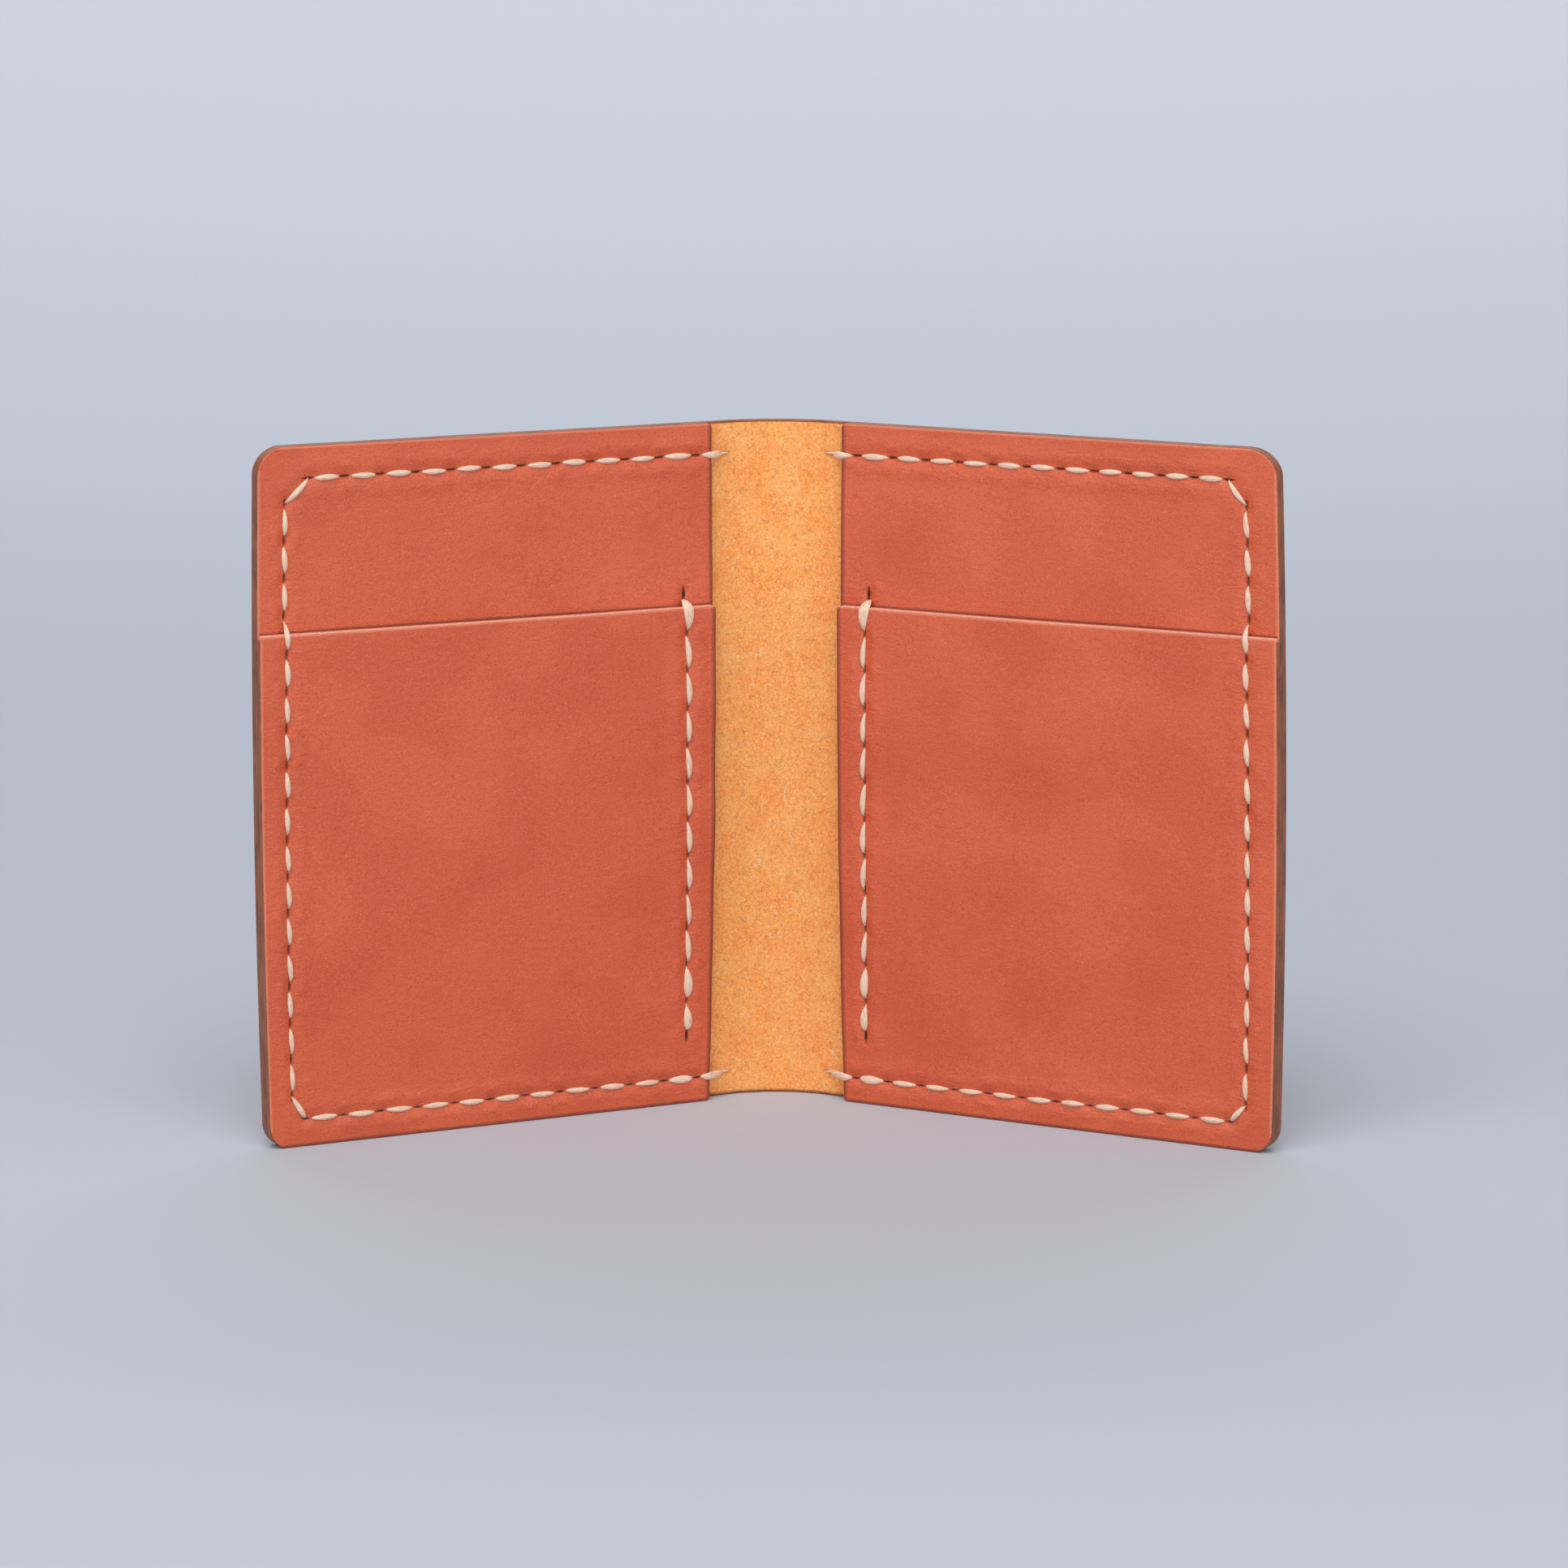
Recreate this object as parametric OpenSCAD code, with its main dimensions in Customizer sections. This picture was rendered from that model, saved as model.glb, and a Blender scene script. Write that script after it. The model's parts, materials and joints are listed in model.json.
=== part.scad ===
// Bifold card holder in hand-stitched leather, standing open on its lower edges.
//
// One outer shell wraps round the back. Each half, or leaf, carries a full-height
// back panel and a shorter front pocket, held by a saddle stitch round the edge.
// A second row joins the front pocket to the back panel only, so that the back
// panel's inner edge stays free and a flat slot opens behind it at the spine.
//
// Z is up, X runs from the left leaf to the right one, and the inside faces -Y.
// The origin is the centre of the bounding box's bottom face.

/* [Leaf] */
// Height of the holder
leaf_height = 95; // [90:1:110]
// Width of each back panel, from its free inner edge to the outer edge
panel_width = 65.5; // [63:0.5:75]
// Height of the front pocket's top edge
pocket_height = 70; // [55:0.1:80]
// Radius of the outer corners
corner_radius = 3.8; // [2:0.1:6]

/* [Leather] */
// Thickness of each layer of leather
leather = 1.1; // [0.9:0.05:1.2]
// Clear height of each slot, for one card
slot_gap = 0.8; // [0.5:0.05:0.8]
// Width of the step in a panel where it rises from its seam
step_width = 0.8; // [0.6:0.1:0.8]

/* [Fold] */
// Distance between neighbouring creases of the spine
crease_pitch = 3.8; // [3.8:0.1:5]
// Distance from the outer crease to the back panel's inner edge
crease_to_panel = 5.1; // [4.5:0.1:7]
// Fold at each of the four creases, in degrees, as the holder stands
crease_angle = 13.3; // [0:0.1:30]

/* [Stitching] */
// Distance between stitch holes, before it is evened out along a row
stitch_pitch = 5.08; // [4:0.01:6]
// Distance from the outer edge to its stitch row
side_margin = 4; // [3.5:0.1:4.5]
// Distance from the top edge to its stitch row
top_margin = 4.4; // [4:0.1:5]
// Distance from the bottom edge to its stitch row
bottom_margin = 3.8; // [3.5:0.1:4.5]
// Distance from the back panel's inner edge to the front pocket's inner row
pocket_margin = 4; // [3.5:0.1:4.5]
// Distance from the back panel's inner edge to the end hole in the spine
spine_reach = 2.9; // [2:0.1:3]
// Width of a stitch at its middle
thread_width = 0.95; // [0.6:0.05:1]
// Height of a stitch above the leather
thread_height = 0.45; // [0.3:0.05:0.5]
// Length of the slit that each hole is punched as
slit_length = 1.6; // [1:0.1:2]

/* [Hidden] */
$fn = 64;

// Room between two things that must not touch
clearance = 0.05;
slit_width = 0.42;
past = 1;

// A leaf is drawn flat: X runs out from its crease, Y is height, and Z is height above
// the inner face of the shell.
leaf_length = crease_to_panel + panel_width;
column_x = leaf_length - side_margin;
top_row_y = leaf_height - top_margin;
bottom_row_y = bottom_margin;
top_corner_cut = 3.3;
bottom_corner_cut = 2.6;
spine_hole_x = crease_to_panel - spine_reach;
pocket_row_x = crease_to_panel + pocket_margin;
pocket_row_top = pocket_height + 1.6;
pocket_row_bottom = bottom_row_y + 5.95;

// Slot behind the back panel, open at the panel's inner edge
notes_inset = 2.4;
notes_far = column_x - notes_inset;
notes_low = bottom_row_y + notes_inset;
notes_high = top_row_y - notes_inset;

// Slot behind the front pocket, open at the pocket's top edge
card_inset = 1.3;
card_near = pocket_row_x + card_inset;
card_far = column_x - card_inset;
card_low = bottom_row_y + card_inset;

// How much of a step's corner is cut off, so that it keeps this far inside the diagonal stitch
stitch_room = thread_width / 2 + clearance;
function cut_for(inset, row_cut, room) = max(0, row_cut + room * sqrt(2) - 2 * inset);

// Heights above the shell's inner face
panel_top = slot_gap + leather;
card_top = panel_top + slot_gap;
pocket_top = card_top + leather;

// Creases on the right, before the holder is centred front to back
inner_crease = [crease_pitch / 2, 0];
outer_crease = inner_crease + crease_pitch * [cos(crease_angle), -sin(crease_angle)];
leaf_angle = 2 * crease_angle;
function reach(x, z) = x * sin(leaf_angle) + (leather / 2 + z) * cos(leaf_angle);
front_reach = max(reach(leaf_length, 2 * leather), reach(card_far + step_width, pocket_top));
front_y = outer_crease.y - front_reach;
centring = -(leather / 2 + front_y) / 2;

// Stitch holes as [x, y, direction of the slit]
function row(from, to, direction) =
    let (n = round(norm(to - from) / stitch_pitch))
    [for (i = [0 : n]) let (p = from + (to - from) * i / n) [p.x, p.y, direction]];

edge_holes = concat(
    row([spine_hole_x, top_row_y], [column_x - top_corner_cut, top_row_y], 0),
    row([column_x, top_row_y - top_corner_cut], [column_x, bottom_row_y + bottom_corner_cut], 90),
    row([column_x - bottom_corner_cut, bottom_row_y], [spine_hole_x, bottom_row_y], 0)
);
pocket_holes = row([pocket_row_x, pocket_row_top], [pocket_row_x, pocket_row_bottom], 90);

// Height of the leather under a stitch round the edge
function seam_level(h) = h.x < crease_to_panel ? 0 : h.y > pocket_height ? leather : 2 * leather;
function stitch_level(a, b) = max(seam_level(a), seam_level(b));
function hole_level(holes, i) = max(
    i > 0 ? stitch_level(holes[i - 1], holes[i]) : 0,
    i < len(holes) - 1 ? stitch_level(holes[i], holes[i + 1]) : 0
);

// ---- Drawing aids ----

// Sheet with two rounded outer corners, or with only the lower one rounded
module sheet(from, height, level, round_top = true) {
    r = corner_radius;
    translate([0, 0, level]) linear_extrude(leather) {
        translate([from, r]) square([leaf_length - from, height - (round_top ? 2 : 1) * r]);
        translate([from, 0]) square([leaf_length - from - r, height]);
        translate([leaf_length - r, r]) circle(r);
        if (round_top) translate([leaf_length - r, height - r]) circle(r);
    }
}

// Box given by its lowest and highest corners, with its outer corners cut off
module block(low, high, top_cut = 0, bottom_cut = 0) {
    corner = [high.x, high.y];
    foot = [high.x, low.y];
    top = top_cut > 0 ? [corner - [0, top_cut], corner - [top_cut, 0]] : [corner];
    bottom = bottom_cut > 0 ? [foot - [bottom_cut, 0], foot + [0, bottom_cut]] : [foot];
    translate([0, 0, low.z]) linear_extrude(high.z - low.z)
        polygon(concat([[low.x, low.y]], bottom, top, [[low.x, high.y]]));
}

// Slits through everything between two heights
module slits(holes, low, high) {
    for (h = holes)
        translate([h.x, h.y, (low + high) / 2]) rotate(h.z)
            cube([slit_length, slit_width, high - low], center = true);
}

// One stitch seen from above: two arcs that meet in a point at each hole
module stitch(a, b) {
    length = norm([b.x - a.x, b.y - a.y]);
    r = (length * length + thread_width * thread_width) / (4 * thread_width);
    middle = [(a.x + b.x) / 2, (a.y + b.y) / 2];
    translate([middle.x, middle.y, 0]) rotate(atan2(b.y - a.y, b.x - a.x))
        linear_extrude(thread_height) intersection() {
            translate([0, r - thread_width / 2]) circle(r, $fn = 180);
            translate([0, thread_width / 2 - r]) circle(r, $fn = 180);
        }
}

// The thread in one hole, between two heights
module thread_in_hole(h, low, high) {
    translate([h.x, h.y, (low + high) / 2]) rotate(h.z)
        cube([slit_length - 2 * clearance, slit_width - 2 * clearance, high - low], center = true);
}

// Stands a flat-drawn leaf upright, with its crease on the Z axis
module upright() {
    translate([0, -leather / 2, 0]) rotate([90, 0, 0]) children();
}

module at_right_leaf() {
    translate([outer_crease.x, outer_crease.y + centring, 0]) rotate(-leaf_angle) children();
}

module at_right_fold() {
    translate([inner_crease.x, inner_crease.y + centring, 0]) rotate(-crease_angle) children();
}

module left() {
    mirror([1, 0, 0]) children();
}

// ---- Pieces of leather, as drawn for the right leaf ----

// The shell beside each leaf, with a round end on the outer crease
module shell_leaf() {
    cylinder(r = leather / 2, h = leaf_height);
    upright() difference() {
        sheet(0, leaf_height, -leather);
        slits(edge_holes, -leather - past, past);
    }
}

// The strip of shell between the inner and outer crease
module shell_fold() {
    strip = crease_pitch - leather / 2 - clearance;
    cylinder(r = leather / 2, h = leaf_height);
    translate([0, -leather / 2, 0]) cube([strip, leather, leaf_height]);
}

// The strip of shell between the two inner creases
module shell_spine() {
    strip = crease_pitch - leather - 2 * clearance;
    translate([-strip / 2, centring - leather / 2, 0]) cube([strip, leather, leaf_height]);
}

// The back panel rises over its slot, and its seams lie on the shell
module panel_rise() {
    block(
        [crease_to_panel, notes_low - step_width, 0],
        [notes_far + step_width, notes_high + step_width, panel_top],
        cut_for(notes_inset - step_width, top_corner_cut, stitch_room),
        cut_for(notes_inset - step_width, bottom_corner_cut, stitch_room)
    );
}

module back_panel() {
    panel_holes = [for (h = edge_holes) if (h.x > crease_to_panel) h];
    upright() difference() {
        union() {
            sheet(crease_to_panel, leaf_height, 0);
            panel_rise();
        }
        block(
            [crease_to_panel - past, notes_low, -past],
            [notes_far, notes_high, slot_gap],
            cut_for(notes_inset, top_corner_cut, stitch_room + step_width),
            cut_for(notes_inset, bottom_corner_cut, stitch_room + step_width)
        );
        slits(panel_holes, -past, panel_top + past);
        slits(pocket_holes, 0, panel_top + past);
    }
}

// The front pocket rises over the back panel, and once more over its own slot
module front_pocket() {
    seam_holes = [for (h = edge_holes) if (h.x > crease_to_panel && h.y < pocket_height) h];
    row_holes = [for (h = pocket_holes) if (h.y < pocket_height) h];
    upright() difference() {
        union() {
            sheet(crease_to_panel, pocket_height, leather, round_top = false);
            block(
                [crease_to_panel, notes_low - 2 * step_width, leather],
                [card_near, pocket_height, panel_top + leather]
            );
            block(
                [card_near - step_width, card_low - step_width, leather],
                [card_far + step_width, pocket_height, pocket_top],
                0,
                cut_for(card_inset - step_width, bottom_corner_cut, stitch_room)
            );
        }
        panel_rise();
        block(
            [card_near, card_low, panel_top],
            [card_far, pocket_height + past, card_top],
            0,
            cut_for(card_inset, bottom_corner_cut, stitch_room + step_width)
        );
        slits(seam_holes, 0, 2 * leather + past);
        slits(row_holes, 0, pocket_top + past);
    }
}

// ---- Threads, as drawn for the right leaf ----

// Saddle stitch along the top, outer and bottom edges, through all layers
module edge_stitching() {
    last = len(edge_holes) - 1;
    upright() {
        for (i = [0 : last - 1])
            let (a = edge_holes[i], b = edge_holes[i + 1]) {
                translate([0, 0, stitch_level(a, b)]) stitch(a, b);
                translate([0, 0, -leather - thread_height]) stitch(a, b);
            }
        for (i = [0 : last])
            thread_in_hole(
                edge_holes[i],
                -leather - thread_height,
                hole_level(edge_holes, i) + thread_height
            );
    }
}

// Row that joins the front pocket's inner edge to the back panel
module pocket_stitching() {
    last = len(pocket_holes) - 1;
    front = panel_top + leather;
    back = slot_gap - thread_height;
    upright() {
        for (i = [0 : last - 1]) {
            translate([0, 0, front]) stitch(pocket_holes[i], pocket_holes[i + 1]);
            translate([0, 0, back]) stitch(pocket_holes[i], pocket_holes[i + 1]);
        }
        for (h = pocket_holes) thread_in_hole(h, back, front + thread_height);
    }
}

module in_grain_leather() { color("#cd6749") children(); }
module in_thread() { color("#ead0b6") children(); }

in_grain_leather() shell_spine();
in_grain_leather() left() at_right_fold() shell_fold();  // shell_fold_left
in_grain_leather() at_right_fold() shell_fold();  // shell_fold_right
in_grain_leather() left() at_right_leaf() shell_leaf();  // shell_leaf_left
in_grain_leather() at_right_leaf() shell_leaf();  // shell_leaf_right
in_grain_leather() left() at_right_leaf() back_panel();  // back_panel_left
in_grain_leather() at_right_leaf() back_panel();  // back_panel_right
in_grain_leather() left() at_right_leaf() front_pocket();  // front_pocket_left
in_grain_leather() at_right_leaf() front_pocket();  // front_pocket_right
in_thread() left() at_right_leaf() edge_stitching();  // edge_stitching_left
in_thread() at_right_leaf() edge_stitching();  // edge_stitching_right
in_thread() left() at_right_leaf() pocket_stitching();  // pocket_stitching_left
in_thread() at_right_leaf() pocket_stitching();  // pocket_stitching_right
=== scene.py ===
import json
import math

import bpy
import numpy as np
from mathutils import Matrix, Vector


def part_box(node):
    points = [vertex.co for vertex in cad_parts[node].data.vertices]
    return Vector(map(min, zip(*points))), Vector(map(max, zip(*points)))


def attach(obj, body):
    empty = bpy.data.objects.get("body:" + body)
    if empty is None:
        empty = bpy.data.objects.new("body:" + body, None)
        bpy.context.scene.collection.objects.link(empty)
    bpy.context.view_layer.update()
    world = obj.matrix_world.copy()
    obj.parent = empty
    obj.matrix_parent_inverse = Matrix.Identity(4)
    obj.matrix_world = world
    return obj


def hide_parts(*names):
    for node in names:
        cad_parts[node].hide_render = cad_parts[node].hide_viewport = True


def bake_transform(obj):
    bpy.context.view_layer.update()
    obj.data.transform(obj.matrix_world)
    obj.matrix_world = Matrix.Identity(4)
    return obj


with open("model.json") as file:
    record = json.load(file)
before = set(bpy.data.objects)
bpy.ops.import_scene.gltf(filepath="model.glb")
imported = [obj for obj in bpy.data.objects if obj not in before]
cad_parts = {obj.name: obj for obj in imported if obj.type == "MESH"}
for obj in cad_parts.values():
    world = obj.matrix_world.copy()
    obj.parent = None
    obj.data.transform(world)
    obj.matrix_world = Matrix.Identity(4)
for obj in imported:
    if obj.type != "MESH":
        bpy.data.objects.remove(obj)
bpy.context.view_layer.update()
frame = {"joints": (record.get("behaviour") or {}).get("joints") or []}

# ---- Sizes, in millimetres and degrees ----
# Flat leaf coordinates: u runs out from the leaf's crease, v is height, and w is height
# above the shell's inner face, towards the inside of the holder.

MM = 0.001
JOINTS = {j["name"]: j for j in frame["joints"]}
INNER_CREASE = np.array(JOINTS["right_inner_crease"]["pos_m"][:2]) / MM
OUTER_CREASE = np.array(JOINTS["right_outer_crease"]["pos_m"][:2]) / MM
CREASE_STEP = OUTER_CREASE - INNER_CREASE
PITCH = float(np.hypot(*CREASE_STEP))
HALF_SPINE = 1.5 * PITCH
FOLD = math.atan2(-CREASE_STEP[1], CREASE_STEP[0])
SPINE_Y = float(INNER_CREASE[1])
SPINE_BOX = [np.array(corner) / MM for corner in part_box("shell_spine")]
HEIGHT = float(SPINE_BOX[1][2])
LEATHER = float(SPINE_BOX[1][1] - SPINE_BOX[0][1])
LEAF_BOX = [np.array(corner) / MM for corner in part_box("shell_leaf_right")]
LEAF_LENGTH = float(
    (LEAF_BOX[1][0] - OUTER_CREASE[0] - LEATHER / 2 * math.sin(2 * FOLD)) / math.cos(2 * FOLD)
)
POCKET_HEIGHT = float(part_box("front_pocket_right")[1].z / MM)
PANEL_EDGE = 5.1
CORNER = 3.8
LOWER_CORNER = 3.1
INNER_CORNER = 0.7

STITCH_PITCH = 5.08
COLUMN_U = LEAF_LENGTH - 4.0
TOP_ROW_V = HEIGHT - 4.4
BOTTOM_ROW_V = 3.8
SPINE_HOLE_U = PANEL_EDGE - 3.1
TAIL_REACH = 1.3
FOOT_SLANT = 0.3
POCKET_ROW_U = PANEL_EDGE + 4.0
POCKET_ROW_TOP = POCKET_HEIGHT + 1.6
POCKET_ROW_BOTTOM = BOTTOM_ROW_V + 5.95
SLIT_HALF = 0.8
LONG_SLIT_HALF = 1.15
SLIT_HALF_WIDTH = 0.16
# Width of the painted shade round each slit
SLIT_SHADE_WIDTH = 0.2
SLIT_DEPTH = 1.0
SHELL_SLIT_DEPTH = 0.45

GRID = 0.45
EDGE_ROUND = 0.3
FACE_ROUND = 0.24
MOUTH_ROUND = 0.14
MOUTH_PALE = 0.1
TIGHT_EDGE = 0.02
PANEL_LIFT = 1.0
POCKET_LIFT = 0.5
LAYER_GAP = 0.01
# Height above the pocket's top edge of its rub mark and painted shadow line
RUB_AND_SHADOW_ABOVE = 0.12
# Edge dressing with painted shade at the inner and lower edges: its strength here, its width below
EDGE_DRESSING_AND_SHADE = 0.6
# Width of the edge wear and painted highlight at the top and outer edges
WEAR_AND_HIGHLIGHT_WIDTH = 0.15
DRESSING_AND_SHADE_WIDTH = 0.18
OUT_OF_REACH = 1e3
NEAR_REACH = 1.5
FAR_REACH = 5.6
RIM_ANGLES = [math.radians(a) for a in (25.0, 50.0, 72.0, 90.0)]
RIM_BULGE = 0.03
RIM_TIGHTNESS = 1.7

# Height and length of each layer's waves
PANEL_WAVES = (0.07, 18.0)
POCKET_WAVES = (0.07, 22.0)
SHELL_WAVES = (0.09, 20.0)
HOLLOW = 0.2
TROUGH = 0.1
PILLOW = 0.09

# Places in each leather piece's list of materials
GRAIN, FLESH, BURNISHED, RAW, HIDDEN = range(5)


# ---- How each leaf, cut and stitched by hand, differs from the drawing ----
# bow, taper and width were fitted to the photo's outline. The leans and cuts were set one by one.

LEFT_HAND = dict(
    bow=0.58, taper=0.16, width=0.13, lean_top=-0.05, lean_foot=0.75, inner_lean=1.1,
    top_cut=(3.4, 3.2), bottom_cut=(1.9, 3.3),
)
RIGHT_HAND = dict(
    bow=0.7, taper=1.38, width=-0.9, lean_top=-0.75, lean_foot=0.0, inner_lean=1.1,
    top_cut=(2.7, 3.3), bottom_cut=(2.3, 2.4),
)

# ---- Threads ----

THREAD_WIDTH = 0.9
STITCH_HEIGHT = 0.3
STITCH_TILT = 0.22
STATIONS = 19
AROUND = 44
LOBES = 11
LOBE_DEPTH = 0.04
PLY_DEPTH = 0.12
FOLD_COLUMNS = 20
PHASES = 6.28
TAIL_WIDTH = 0.36

# ---- Stage, in metres, and the camera, in millimetres and degrees ----
# The camera was fitted to the photo's outline, together with the leaves.

SWEEP_START = 0.55
SWEEP_RADIUS = 0.9
HOLDER_MIDDLE = (0.0, 0.0, 0.045)
CAMERA_AZIMUTH = 1.14
CAMERA_ELEVATION = 10.57
CAMERA_DISTANCE = 774.0
CAMERA_TARGET = (0.92, SPINE_Y, 43.93)
CAMERA_LENS = 127.67


def add_object(name, data):
    obj = bpy.data.objects.new(name, data)
    bpy.context.scene.collection.objects.link(obj)
    return obj


def smooth(t):
    """0 to 1 with level ends."""
    t = np.clip(t, 0.0, 1.0)
    return t * t * (3.0 - 2.0 * t)


def bell(x, width):
    return np.exp(-((x / width) ** 2))


# ---- Stitch holes, by the same rule as the CAD ----


def row(start, end, upright, end_half=SLIT_HALF):
    """Evenly spaced holes as (u, v, upright, half the length of the slit)."""
    start, end = np.array(start, float), np.array(end, float)
    count = round(float(np.hypot(*(end - start))) / STITCH_PITCH)
    halves = [end_half] + [SLIT_HALF] * (count - 1) + [end_half]
    return [(*(start + (end - start) * i / count), upright, half) for i, half in enumerate(halves)]


def edge_row(top_cut, bottom_cut):
    """Holes round the edge. Each cut says how far its corner is cut across, in u and in v."""
    top = row((SPINE_HOLE_U, TOP_ROW_V), (COLUMN_U - top_cut[0], TOP_ROW_V), False)
    column = row((COLUMN_U, TOP_ROW_V - top_cut[1]), (COLUMN_U, BOTTOM_ROW_V + bottom_cut[1]), True)
    bottom = row((COLUMN_U - bottom_cut[0], BOTTOM_ROW_V), (SPINE_HOLE_U, BOTTOM_ROW_V - FOOT_SLANT), False)
    return top + column + bottom


POCKET_HOLES = row((POCKET_ROW_U, POCKET_ROW_TOP), (POCKET_ROW_U, POCKET_ROW_BOTTOM), True, LONG_SLIT_HALF)


# ---- From a flat leaf to the standing holder ----


def crease(points, pivot, weight):
    """Turns flat points about a crease by their own share of its fold."""
    angle = -FOLD * weight
    c, s = np.cos(angle), np.sin(angle)
    du, dy = points[:, 0] - pivot[0], points[:, 1] - pivot[1]
    return np.stack([pivot[0] + c * du - s * dy, pivot[1] + s * du + c * dy], axis=1)


def stand(side, u, v, w):
    """Places flat points in the row frame, in metres. side is 1 for the right leaf and -1 for the left."""
    across = u + HALF_SPINE
    flat = np.stack([across, SPINE_Y - (w + LEATHER / 2)], axis=1)
    outer = smooth((across - PITCH) / PITCH)
    inner = smooth(across / PITCH)
    bent = crease(flat, (HALF_SPINE, SPINE_Y), outer)
    bent = crease(bent, (0.5 * PITCH, SPINE_Y), inner)
    return np.stack([side * bent[:, 0], bent[:, 1], v], axis=1) * MM


# ---- Heights of the layers of one leaf ----


def ripples(u, v, rng, size, wavelength, count=7):
    """Soft waves that leather keeps from being worked."""
    total = np.zeros_like(u)
    for _ in range(count):
        turn = rng.uniform(0.0, 2.0 * math.pi)
        step = 2.0 * math.pi / (wavelength * rng.uniform(0.7, 1.5))
        phase = rng.uniform(0.0, 2.0 * math.pi)
        total += np.sin(step * (u * math.cos(turn) + v * math.sin(turn)) + phase)
    return size * total / math.sqrt(count)


def about_hole(u, v, hole):
    """Distances from a hole's middle, along its slit and beside it."""
    du, dv = u - hole[0], v - hole[1]
    return (dv, du) if hole[2] else (du, dv)


def pressed(u, v, holes, rng):
    """How far stitches pull the leather in, as a negative height: a hollow at each hole, a trough
    under each stitch, and the pillow that the leather makes beside it."""
    depth = np.zeros_like(u)
    for hole in holes:
        along, beside = about_hole(u, v, hole)
        depth -= HOLLOW * rng.uniform(0.7, 1.3) * bell(along, 1.2) * bell(beside, 0.7)
        shift = rng.uniform(-0.5, 0.5)
        depth += PILLOW * rng.uniform(0.3, 1.7) * bell(along - shift, 1.1) * (
            bell(beside - 1.5, 0.65) + bell(beside + 1.5, 0.65)
        )
    for first, second in zip(holes, holes[1:]):
        a, b = np.array(first[:2]), np.array(second[:2])
        length = float(np.hypot(*(b - a)))
        if length > 1.3 * STITCH_PITCH:
            continue
        direction = (b - a) / length
        middle = (a + b) / 2
        along = (u - middle[0]) * direction[0] + (v - middle[1]) * direction[1]
        beside = (v - middle[1]) * direction[0] - (u - middle[0]) * direction[1]
        depth -= TROUGH * rng.uniform(0.7, 1.3) * bell(along, 2.6) * bell(beside, 0.75)
        depth += PILLOW * rng.uniform(0.4, 1.6) * bell(along, 2.2) * (
            bell(beside - 1.9, 1.0) + bell(beside + 1.9, 1.0)
        )
    return depth


def strain(u, v, holes):
    """How much the stitches have puckered the leather, from 0 to 1."""
    total = np.zeros_like(u)
    for hole_u, hole_v, _, _ in holes:
        total = np.maximum(total, bell(np.hypot(u - hole_u, v - hole_v), 3.0))
    return total


def slit_cuts(u, v, holes, deepest):
    """Depth of the slits, on the grid lines that run along their middles."""
    depth = np.zeros_like(u)
    for hole in holes:
        along, beside = about_hole(u, v, hole)
        half = hole[3]
        inside = (np.abs(beside) < 0.01) & (np.abs(along) < half)
        shape = np.sqrt(np.clip(1.0 - (along / half) ** 2, 0.0, 1.0))
        depth = np.maximum(depth, np.where(inside, deepest * (0.3 + 0.7 * shape), 0.0))
    return depth


def slit_painted_shade(u, v, holes):
    """Painted shade in the slits and just round them, from 0 to 1."""
    dark = np.zeros_like(u)
    for hole in holes:
        along, beside = about_hole(u, v, hole)
        half = hole[3]
        apart = np.hypot(along / half, beside / (SLIT_SHADE_WIDTH * (half / SLIT_HALF)))
        dark = np.maximum(dark, np.clip(2.2 * (1.0 - apart), 0.0, 1.0))
    return dark


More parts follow.
